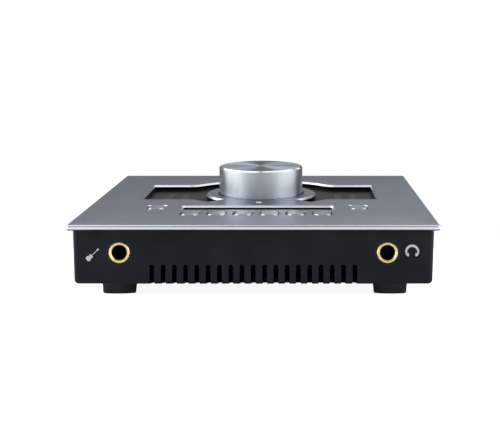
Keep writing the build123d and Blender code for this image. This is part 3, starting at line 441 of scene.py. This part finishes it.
# Pieces shut inside the casing keep the frame's own meshes and only take a finish
HIDDEN_INSIDE = {
    "board_components", "board_screws", "board_standoffs", "button_switches", "encoder_body", "encoder_nut",
    "encoder_plunger", "encoder_shaft", "heat_sink", "io_board", "knob_hub", "light_baffles", "main_board",
    "meter_leds", "ribbon_cable", "ui_board",
}
# Faces that meet at less than this angle are shaded as one curve
CREASE = math.radians(35.0)
# Corners nearer to each other than this are one corner
MERGE = 0.001 * MM


def smooth_copy(node):
    """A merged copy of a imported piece, shaded smooth across its curves and crisp at its real corners."""
    shape = bmesh.new()
    shape.from_mesh(nodes[node].data)
    bmesh.ops.remove_doubles(shape, verts=shape.verts, dist=MERGE)
    for face in shape.faces:
        face.smooth = True
    for edge in shape.edges:
        edge.smooth = len(edge.link_faces) == 2 and edge.calc_face_angle(0.0) < CREASE
    mesh = bpy.data.meshes.new(node + "_finished")
    shape.to_mesh(mesh)
    shape.free()
    own_normals = mesh.attributes.get("custom_normal")
    if own_normals:
        mesh.attributes.remove(own_normals)
    piece = bpy.data.objects.new(node + "_finished", mesh)
    keep(piece, body_of(nodes[node])[0], SLOTS[node])
    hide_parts(node)


# These get heads with a recess, grown further down
SCREWED_ON = {"rear_panel_screws"}
for name, piece in nodes.items():
    if name in HIDDEN_INSIDE:
        piece.data.materials.clear()
        piece.data.materials.append(FINISHES[SLOTS[name]])
    elif name not in SCREWED_ON:
        smooth_copy(name)


def plate_of(outlines, thickness):
    """Closed thin plates cut to flat outlines in millimetres, lying face up on their own ground."""
    shape = bmesh.new()
    for outline in outlines:
        rim = [shape.verts.new((x * MM, y * MM, 0.0)) for x, y in outline]
        grown = bmesh.ops.extrude_face_region(shape, geom=[shape.faces.new(rim)])["geom"]
        raised = [item for item in grown if isinstance(item, bmesh.types.BMVert)]
        bmesh.ops.translate(shape, verts=raised, vec=(0.0, 0.0, thickness * MM))
    bmesh.ops.recalc_face_normals(shape, faces=shape.faces)
    mesh = bpy.data.meshes.new("plate")
    shape.to_mesh(mesh)
    shape.free()
    return mesh


# Turns that stand a flat piece upright, so that it is read from in front or from behind
FACING_FRONT = Matrix(((1, 0, 0), (0, 0, -1), (0, 1, 0))).to_4x4()
FACING_BACK = Matrix(((-1, 0, 0), (0, 0, 1), (0, 1, 0))).to_4x4()
# Millimetres of ink, and how much of it lies below the paint's face so that no gap shows
INK_THICKNESS = 0.04
INK_SUNK = 0.01
ON_FRONT = BODY_FRONT + INK_SUNK * MM
ON_PANEL = PANEL_BACK - INK_SUNK * MM


def print_on(name, mesh, turn, place, slot):
    """Ink one symbol on a flat wall: turned to face out and moved to its place."""
    mesh.transform(Matrix.Translation(place) @ turn)
    return keep(bpy.data.objects.new(name, mesh), CHASSIS, slot, WHITE_INK)


def arc(centre, radius, start, end, steps):
    """Points along an arc, its angles in degrees."""
    angles = [math.radians(start + (end - start) * i / steps) for i in range(steps + 1)]
    return [(centre[0] + radius * math.cos(a), centre[1] + radius * math.sin(a)) for a in angles]


def guitar_outline(tilt):
    """A small guitar from its tail to its peg head, 7 mm long, as one outline turned up to the right."""
    body = [(-3.5, 0.35), (-3.35, 0.8), (-2.95, 1.12), (-2.45, 1.18), (-2.0, 0.98), (-1.68, 0.66)]
    body += [(-1.45, 0.62), (-1.2, 0.82), (-0.85, 0.92), (-0.55, 0.8), (-0.5, 0.5), (-0.75, 0.3)]
    neck = [(-0.7, 0.15), (2.5, 0.13), (2.6, 0.36), (3.25, 0.38), (3.5, 0.2)]
    half = body + neck
    whole = half + [(along, -across) for along, across in reversed(half)]
    c, s = math.cos(math.radians(tilt)), math.sin(math.radians(tilt))
    return [(along * c - across * s, along * s + across * c) for along, across in whole]


def headphone_outlines():
    """A headband about 6 mm wide with a cup hanging at each end."""
    band = arc((0.0, -0.5), 3.0, -24.0, 204.0, 32) + arc((0.0, -0.75), 2.2, 200.0, -20.0, 32)
    cups = []
    for side in (-1, 1):
        cup = [(2.85, -1.55), (2.65, -1.95), (1.85, -2.65), (1.4, -2.55)]
        cup += [(1.45, -1.2), (1.75, -1.1), (2.2, -1.45)]
        cups.append([(side * x, y) for x, y in cup])
    return [band, *cups]


GUITAR_PLACE = Vector((-69.3 * MM, ON_FRONT, 17.3 * MM))
GUITAR_TILT = 44.0
HEADPHONE_PLACE = Vector((68.6 * MM, ON_FRONT, 19.1 * MM))
symbol = plate_of([guitar_outline(GUITAR_TILT)], INK_THICKNESS)
print_on("guitar_symbol", symbol, FACING_FRONT, GUITAR_PLACE, "case_paint")
symbol = plate_of(headphone_outlines(), INK_THICKNESS)
print_on("headphone_symbol", symbol, FACING_FRONT, HEADPHONE_PLACE, "case_paint")


def turned_ring(profile, sides=64):
    """A closed ring turned from a closed profile of reach and rise, standing on its own ground."""
    shape = bmesh.new()
    angles = [2 * math.pi * i / sides for i in range(sides)]
    hoops = [
        [shape.verts.new((r * MM * math.cos(a), r * MM * math.sin(a), z * MM)) for a in angles]
        for r, z in profile
    ]
    for lower, upper in zip(hoops, hoops[1:] + hoops[:1]):
        for i in range(sides):
            j = (i + 1) % sides
            shape.faces.new((lower[i], lower[j], upper[j], upper[i])).smooth = True
    bmesh.ops.recalc_face_normals(shape, faces=shape.faces)
    mesh = bpy.data.meshes.new("ring")
    shape.to_mesh(mesh)
    shape.free()
    return mesh


# A thin black washer frames each front socket's gold ferrule: its section, as reach beyond the ferrule
# and height above the wall, in millimetres
FERRULE_FOOT, FERRULE_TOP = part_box("headphone_jack_ferrule")
FERRULE_RADIUS = (FERRULE_TOP.z - FERRULE_FOOT.z) / 2 / MM
SECTION = ((0.05, -0.01), (0.95, -0.01), (0.9, 0.09), (0.7, 0.16), (0.35, 0.14), (0.05, 0.02))
WASHER = [(FERRULE_RADIUS + reach, rise) for reach, rise in SECTION]
for node in ("instrument_jack_ferrule", "headphone_jack_ferrule"):
    washer = turned_ring(WASHER)
    middle = middle_of(node)
    washer.transform(Matrix.Translation((middle.x, BODY_FRONT, middle.z)) @ FACING_FRONT)
    keep(bpy.data.objects.new(node.replace("ferrule", "washer"), washer), CHASSIS, "socket_plastic")


# A bead of rubber on the tub's floor closes the slit under the back panel, so that no light shows through
# the vents. It is pressed a little into both, and ends short of the panel's sides. In millimetres.
SEAL_RADIUS = 0.6
SEAL_PRESSED = 0.1
SEAL_SHORT = 2.5
SEAL_CORNERS = 24
PANEL_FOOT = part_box("rear_panel")[0]
TUB_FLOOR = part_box("board_standoffs")[0].z
SEAL_FROM = PANEL_FOOT.x + SEAL_SHORT * MM
SEAL_OFF = SEAL_RADIUS - SEAL_PRESSED
LYING_ALONG_X = Matrix(((0, 0, 1), (1, 0, 0), (0, 1, 0))).to_4x4()
outline = arc((0.0, 0.0), SEAL_RADIUS, 0.0, 360.0 - 360.0 / SEAL_CORNERS, SEAL_CORNERS - 1)
seal = plate_of([outline], -2 * SEAL_FROM / MM)
seal_start = Vector((SEAL_FROM, PANEL_FOOT.y - SEAL_OFF * MM, TUB_FLOOR + SEAL_OFF * MM))
seal.transform(Matrix.Translation(seal_start) @ LYING_ALONG_X)
keep(bpy.data.objects.new("panel_foot_seal", seal), CHASSIS, "foot_rubber")


# Steps along each curve of a letter, and how near its doubled corners lie
LETTER_STEPS = 4
LETTER_MERGE = 0.0005 * MM


def print_numeral(name, letters, size, x, z):
    """A numeral or letter printed on the back panel: its size in millimetres, its middle in metres."""
    words = bpy.data.curves.new(name, "FONT")
    words.body = letters
    words.size = size * MM
    words.extrude = INK_THICKNESS / 2 * MM
    words.align_x, words.align_y = "CENTER", "CENTER"
    words.resolution_u = LETTER_STEPS
    carrier = bpy.data.objects.new(name + "_letters", words)
    bpy.context.scene.collection.objects.link(carrier)
    bpy.context.view_layer.update()
    seen = carrier.evaluated_get(bpy.context.evaluated_depsgraph_get())
    mesh = bpy.data.meshes.new_from_object(seen)
    bpy.data.objects.remove(carrier)
    shape = bmesh.new()
    shape.from_mesh(mesh)
    bmesh.ops.remove_doubles(shape, verts=shape.verts, dist=LETTER_MERGE)
    bmesh.ops.recalc_face_normals(shape, faces=shape.faces)
    shape.to_mesh(mesh)
    shape.free()
    print_on(name, mesh, FACING_BACK, Vector((x, ON_PANEL, z)), "panel_paint")


# Printing on the back, in millimetres: sizes, the height of the microphone numerals above the ground, how
# far the marks stand beside their switch, and how far the others rise above the middle of their socket
INPUT_NUMERAL, INPUT_NUMERAL_HEIGHT = 4.2, 10.5
OUTPUT_NUMERAL, OUTPUT_NUMERAL_RISE = 3.0, 8.9
SWITCH_MARK, SWITCH_MARK_ASIDE = 3.2, 3.2
ON_MARK_RISE, OFF_MARK_RISE = 7.2, -7.8
INLET_SYMBOL_RISE = -9.0
for number, node in enumerate(("combo_1_housing", "combo_2_housing"), start=1):
    low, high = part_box(node)
    place = (low.x + high.x) / 2, INPUT_NUMERAL_HEIGHT * MM
    print_numeral(f"input_numeral_{number}", str(number), INPUT_NUMERAL, *place)
for number in range(1, 5):
    mouth = Vector(mounts[f"line_output_{number}"]["pos_m"])
    place = mouth.x, mouth.z + OUTPUT_NUMERAL_RISE * MM
    print_numeral(f"output_numeral_{number}", str(number), OUTPUT_NUMERAL, *place)
switch = middle_of("power_switch_frame")
beside_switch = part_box("power_switch_frame")[1].x + SWITCH_MARK_ASIDE * MM
print_numeral("on_mark", "I", SWITCH_MARK, beside_switch, switch.z + ON_MARK_RISE * MM)
print_numeral("off_mark", "O", SWITCH_MARK, beside_switch, switch.z + OFF_MARK_RISE * MM)
# The direct-current symbol: a long bar over three dashes, as left, bottom, right and top
inlet = middle_of("dc_inlet")
bars = [(-1.8, 0.35, 1.8, 0.65)] + [(x - 0.4, -0.65, x + 0.4, -0.35) for x in (-1.4, 0.0, 1.4)]
symbol = plate_of([[(a, b), (c, b), (c, d), (a, d)] for a, b, c, d in bars], INK_THICKNESS)
under_inlet = Vector((inlet.x, ON_PANEL, inlet.z + INLET_SYMBOL_RISE * MM))
print_on("direct_current_symbol", symbol, FACING_BACK, under_inlet, "panel_paint")


# ---------------------------------------------------------------- rows grown from one piece
def row_tree():
    """Rows of one piece: count and step along, count and step across, from a start point."""
    tree = bpy.data.node_groups.new("rows_of_one_piece", "GeometryNodeTree")
    sockets = (
        ("Piece", "NodeSocketObject"), ("Finish", "NodeSocketMaterial"), ("Start", "NodeSocketVector"),
        ("Count Along", "NodeSocketInt"), ("Step Along", "NodeSocketVector"),
        ("Count Across", "NodeSocketInt"), ("Step Across", "NodeSocketVector"),
    )
    for name, kind in sockets:
        tree.interface.new_socket(name, in_out="INPUT", socket_type=kind)
    tree.interface.new_socket("Geometry", in_out="OUTPUT", socket_type="NodeSocketGeometry")
    given = add(tree, "NodeGroupInput").outputs
    across = {"Count": given["Count Across"], "Offset": given["Step Across"]}
    across = add(tree, "GeometryNodeMeshLine", {**across, "Start Location": given["Start"]})
    along = {"Count": given["Count Along"], "Offset": given["Step Along"]}
    along = add(tree, "GeometryNodeMeshLine", along)
    rows = add(tree, "GeometryNodeInstanceOnPoints", {"Points": across, "Instance": along})
    places = add(tree, "GeometryNodeRealizeInstances", {0: rows})
    piece = add(tree, "GeometryNodeObjectInfo", {"Object": given["Piece"]}).outputs["Geometry"]
    laid = add(tree, "GeometryNodeInstanceOnPoints", {"Points": places, "Instance": piece})
    whole = add(tree, "GeometryNodeRealizeInstances", {0: laid})
    done = add(tree, "GeometryNodeSetMaterial", {"Geometry": whole, "Material": given["Finish"]})
    add(tree, "NodeGroupOutput", {0: done})
    return tree


ROWS = row_tree()


def grow_rows(name, mesh, finish_of_it, start, along, across):
    """Run the row tree on one mesh and keep it plain; along and across are each a count and a step."""
    template = bpy.data.objects.new(name + "_template", mesh)
    carrier = bpy.data.objects.new(name, bpy.data.meshes.new(name))
    for item in (template, carrier):
        bpy.context.scene.collection.objects.link(item)
    growth = carrier.modifiers.new("growth", "NODES")
    growth.node_group = ROWS
    values = {"Piece": template, "Finish": finish_of_it, "Start": tuple(start)}
    values.update({"Count Along": along[0], "Step Along": tuple(along[1])})
    values.update({"Count Across": across[0], "Step Across": tuple(across[1])})
    for socket in ROWS.interface.items_tree:
        if socket.in_out == "INPUT":
            growth[socket.identifier] = values[socket.name]
    bpy.context.view_layer.update()
    graph = bpy.context.evaluated_depsgraph_get()
    grown = bpy.data.meshes.new_from_object(carrier.evaluated_get(graph), depsgraph=graph)
    carrier.modifiers.clear()
    carrier.data = grown
    bpy.data.objects.remove(template)
    return carrier


def turned_head(radius, height, arm, slot_width, depth, sides=48):
    """A pan head with a cross recess: closed loops from its foot, over its dome, to the recess's floor."""
    def cross(reach, width, angle):
        """How far the recess's outline lies from the middle in one direction."""
        c, s = abs(math.cos(angle)) + 1e-6, abs(math.sin(angle)) + 1e-6
        return max(min(reach / c, width / s), min(reach / s, width / c))

    angles = [2 * math.pi * i / sides for i in range(sides)]
    # The dome's section, as shares of the head's radius and height
    dome = ((0.96, 0.0), (1.0, 0.15), (1.0, 0.45), (0.93, 0.74), (0.78, 0.93), (0.62, 1.0))
    loops = [[(reach * radius, rise * height) for _ in angles] for reach, rise in dome]
    # The recess narrows from its mouth to its floor
    loops.append([(cross(arm, slot_width / 2, a), height) for a in angles])
    loops.append([(cross(arm * 0.6, slot_width * 0.4, a), height - depth) for a in angles])
    shape = bmesh.new()
    rings = []
    for loop in loops:
        corners = [(r * MM * math.cos(a), r * MM * math.sin(a), z * MM) for (r, z), a in zip(loop, angles)]
        rings.append([shape.verts.new(corner) for corner in corners])
    for lower, upper in zip(rings, rings[1:]):
        for i in range(sides):
            j = (i + 1) % sides
            shape.faces.new((lower[i], lower[j], upper[j], upper[i]))
    shape.faces.new(list(reversed(rings[0])))
    floor_middle = shape.verts.new((0.0, 0.0, (height - depth) * MM))
    for i in range(sides):
        shape.faces.new((rings[-1][i], rings[-1][(i + 1) % sides], floor_middle))
    for face in shape.faces:
        face.smooth = True
    for edge in shape.edges:
        edge.smooth = edge.calc_face_angle(0.0) < CREASE
    mesh = bpy.data.meshes.new("turned_head")
    shape.to_mesh(mesh)
    shape.free()
    return mesh


def solid_boxes(node):
    """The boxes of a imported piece's separate solids, as low and high corners."""
    shape = bmesh.new()
    shape.from_mesh(nodes[node].data)
    bmesh.ops.remove_doubles(shape, verts=shape.verts, dist=MERGE)
    left, boxes = set(shape.verts), []
    while left:
        edge_of_search, found = [left.pop()], []
        while edge_of_search:
            vertex = edge_of_search.pop()
            found.append(vertex.co.copy())
            near = {edge.other_vert(vertex) for edge in vertex.link_edges} & left
            left -= near
            edge_of_search += near
        boxes.append([Vector([pick(point[i] for point in found) for i in range(3)]) for pick in (min, max)])
    shape.free()
    return boxes


# The cross recess, as shares of the head's radius and height
RECESS_REACH, RECESS_WIDTH, RECESS_DEPTH = 0.6, 0.36, 0.6


def screw_rows():
    """Cross-recessed heads on the back: four hold the panel, and two hold each microphone socket."""
    heads = sorted(solid_boxes("rear_panel_screws"), key=lambda box: abs(box[0].x + box[1].x))
    for name, group in (("panel_screw_heads", heads[4:]), ("socket_screw_heads", heads[:4])):
        group.sort(key=lambda box: (round(box[0].x / MM), box[0].z))
        first, along, across = [(low + high) / 2 for low, high in group[:3]]
        radius = (group[0][1].x - group[0][0].x) / 2 / MM
        height = (group[0][1].y - PANEL_BACK) / MM
        recess = radius * RECESS_REACH, radius * RECESS_WIDTH, height * RECESS_DEPTH
        head = turned_head(radius, height, *recess)
        head.transform(FACING_BACK)
        start = Vector((first.x, PANEL_BACK, first.z))
        steps = (2, along - first), (2, across - first)
        grown = grow_rows(name, head, FINISHES["plated_steel"], start, *steps)
        keep(grown, CHASSIS, "plated_steel")
    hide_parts("rear_panel_screws")


screw_rows()

# Bar meters lie unlit behind each window, two columns of bars a side: millimetres from the knob's centre
BAR = [(-1.7, -0.5), (1.7, -0.5), (1.7, 0.5), (-1.7, 0.5)]
BAR_THICKNESS = 0.03
BAR_HEIGHT = -3.5
OUTER_COLUMN, LOWEST_BAR = 48.0, -15.0
COLUMNS, BARS_A_COLUMN = 2, 13
COLUMN_STEP, BAR_STEP = 8.0, 2.6
COVER_TURN = Matrix((Vector((1, 0, 0)), UP_SLOPE, COVER_UP)).transposed().to_4x4()
for side, name in ((-1, "left"), (1, "right")):
    bar = plate_of([BAR], BAR_THICKNESS)
    bar.transform(COVER_TURN)
    start = on_cover(side * OUTER_COLUMN, LOWEST_BAR, BAR_HEIGHT)
    up = BARS_A_COLUMN, UP_SLOPE * BAR_STEP * MM
    inward = COLUMNS, Vector((-side * COLUMN_STEP * MM, 0, 0))
    bars = grow_rows(f"{name}_meter_bars", bar, UNLIT_METER, start, up, inward)
    keep(bars, CHASSIS, "smoked_window", UNLIT_METER)


# ---------------------------------------------------------------- floor, lamps and camera
def level_square(name, side, height):
    """A square that lies level, its middle over the origin."""
    mesh = bpy.data.meshes.new(name)
    half = side / 2
    corners = [(-half, -half, height), (half, -half, height), (half, half, height), (-half, half, height)]
    mesh.from_pydata(corners, [], [(0, 1, 2, 3)])
    made = bpy.data.objects.new(name, mesh)
    bpy.context.scene.collection.objects.link(made)
    return made


def white_sweep():
    """Studio paper: white to the eye under the object's shadow, and uneven only where it is mirrored."""
    material = bpy.data.materials.new("white_studio_paper")
    material.use_nodes = True
    tree = material.node_tree
    tree.nodes.clear()
    path = add(tree, "ShaderNodeLightPath")
    place = add(tree, "ShaderNodeSeparateXYZ", {0: add(tree, "ShaderNodeTexCoord").outputs["Object"]})
    aside = add(tree, "ShaderNodeMath", {0: place.outputs["X"]}, operation="ABSOLUTE")
    # What metal mirrors of it is dark under the object and nearly white from 0.25 m to either side
    aside = {"Value": aside, "From Min": 0.08, "From Max": 0.25, "To Min": 0.12, "To Max": 0.95}
    aside = add(tree, "ShaderNodeMapRange", aside)
    mirrored = {0: aside, 1: path.outputs["Is Glossy Ray"]}
    mirrored = add(tree, "ShaderNodeMath", mirrored, operation="MULTIPLY")
    paper = add(tree, "ShaderNodeBsdfDiffuse", {"Color": "#F4F4F4"})
    # To the camera it glows enough to read as white wherever no shadow falls
    shown = {0: path.outputs["Is Camera Ray"], 1: 0.92, 2: mirrored}
    seen = add(tree, "ShaderNodeMath", shown, operation="MULTIPLY_ADD")
    glow = add(tree, "ShaderNodeEmission", {"Color": (1.0, 1.0, 1.0, 1.0), "Strength": seen})
    both = add(tree, "ShaderNodeAddShader", {0: paper, 1: glow})
    add(tree, "ShaderNodeOutputMaterial", {"Surface": both})
    return material


# The paper is wider than any view, and lies a hair below the feet so that no face of theirs meets it
FLOOR_SIDE = 6.0
FLOOR_HEIGHT = -0.1 * MM
floor = level_square("floor", FLOOR_SIDE, FLOOR_HEIGHT)
floor.data.materials.append(white_sweep())


# Strengths of the world's light, where white paper is 1
SIDE_PANELS = 1.7
PLAIN_FILL = 0.5


def studio_world():
    """White to the camera, a plain fill for matt surfaces, and a tent that metal mirrors."""
    world = bpy.data.worlds.new("studio")
    bpy.context.scene.world = world
    world.use_nodes = True
    tree = world.node_tree
    tree.nodes.clear()
    way = add(tree, "ShaderNodeTexCoord").outputs["Generated"]
    way = add(tree, "ShaderNodeSeparateXYZ", {0: way}).outputs
    # The tent brightens as it rises, and low down it is darker behind the object than before it
    rise = {"Value": way["Z"], "From Min": 0.33, "From Max": 0.8}
    behind = add(tree, "ShaderNodeMapRange", {**rise, "To Min": 0.13, "To Max": 0.62})
    before = add(tree, "ShaderNodeMapRange", {**rise, "To Min": 0.22, "To Max": 0.6})
    rear_share = add(tree, "ShaderNodeMapRange", {"Value": way["Y"], "From Min": -0.3, "From Max": 0.3})
    fore_and_aft = add(tree, "ShaderNodeMix", {"Factor": rear_share, "A": before, "B": behind})
    # Bright panels stand at its sides, from the front to a little behind the middle
    aside = add(tree, "ShaderNodeMath", {0: way["X"]}, operation="ABSOLUTE")
    aside = add(tree, "ShaderNodeMapRange", {"Value": aside, "From Min": 0.5, "From Max": 0.8})
    ahead = {"Value": way["Y"], "From Min": 0.1, "From Max": 0.5, "To Min": 1.0, "To Max": 0.0}
    ahead = add(tree, "ShaderNodeMapRange", ahead)
    aside = add(tree, "ShaderNodeMath", {0: aside, 1: ahead}, operation="MULTIPLY")
    tent = add(tree, "ShaderNodeMix", {"Factor": aside, "A": fore_and_aft, "B": SIDE_PANELS})
    # The left side is the brighter one
    keyed = {"Value": way["X"], "From Min": -0.5, "From Max": 0.5, "To Min": 1.15, "To Max": 0.85}
    keyed = add(tree, "ShaderNodeMapRange", keyed)
    tent = add(tree, "ShaderNodeMath", {0: tent, 1: keyed}, operation="MULTIPLY")
    path = add(tree, "ShaderNodeLightPath").outputs
    shiny = add(tree, "ShaderNodeMix", {"Factor": path["Is Glossy Ray"], "A": PLAIN_FILL, "B": tent})
    seen = add(tree, "ShaderNodeMix", {"Factor": path["Is Camera Ray"], "A": shiny, "B": 1.0})
    through = add(tree, "ShaderNodeMix", {"Factor": path["Is Transmission Ray"], "A": seen, "B": 1.0})
    sky = add(tree, "ShaderNodeBackground", {"Color": (1.0, 1.0, 1.0, 1.0), "Strength": through})
    add(tree, "ShaderNodeOutputWorld", {"Surface": sky})


studio_world()


def softbox(name, place, aim, size, power):
    """A soft lamp that faces a point: metres and watts."""
    light = bpy.data.lights.new(name, "AREA")
    light.shape = "RECTANGLE"
    light.size, light.size_y = size
    light.energy = power
    made = bpy.data.objects.new(name, light)
    made.location = place
    made.rotation_euler = (Vector(aim) - Vector(place)).to_track_quat("-Z", "Y").to_euler()
    made.visible_camera = False
    bpy.context.scene.collection.objects.link(made)


# Two large boxes light both sides from above, the left a little more, and a narrow one behind lights the
# rear of the cover
MIDDLE = (0.0, 0.0, 0.03)
SIDE_BOX = (1.0, 1.2)
REAR_BOX = (1.0, 0.25)
softbox("left_softbox", (-0.6, -0.1, 0.85), MIDDLE, SIDE_BOX, 3.8)
softbox("right_softbox", (0.6, -0.1, 0.85), MIDDLE, SIDE_BOX, 3.2)
softbox("rear_softbox", (-0.09, 0.36, 0.5), MIDDLE, REAR_BOX, 1.4)

# The camera stands low before the object and almost level, a little to the right, and its film is shifted
# to bring the object back to the middle
CAMERA_PLACE = (0.0199, -0.4917, 0.02285)
CAMERA_PITCH = math.radians(91.6)
LENS_LENGTH, FILM_WIDTH = 69.9, 36.0
FILM_SHIFT = -0.0988
NEAREST_SEEN = 0.01
camera_data = bpy.data.cameras.new("camera")
camera_data.lens = LENS_LENGTH
camera_data.sensor_width = FILM_WIDTH
camera_data.shift_x = FILM_SHIFT
camera_data.clip_start = NEAREST_SEEN
camera_object = bpy.data.objects.new("camera", camera_data)
camera_object.location = CAMERA_PLACE
camera_object.rotation_euler = (CAMERA_PITCH, 0.0, 0.0)
bpy.context.scene.collection.objects.link(camera_object)
bpy.context.scene.camera = camera_object
bpy.context.scene.view_settings.view_transform = "Standard"
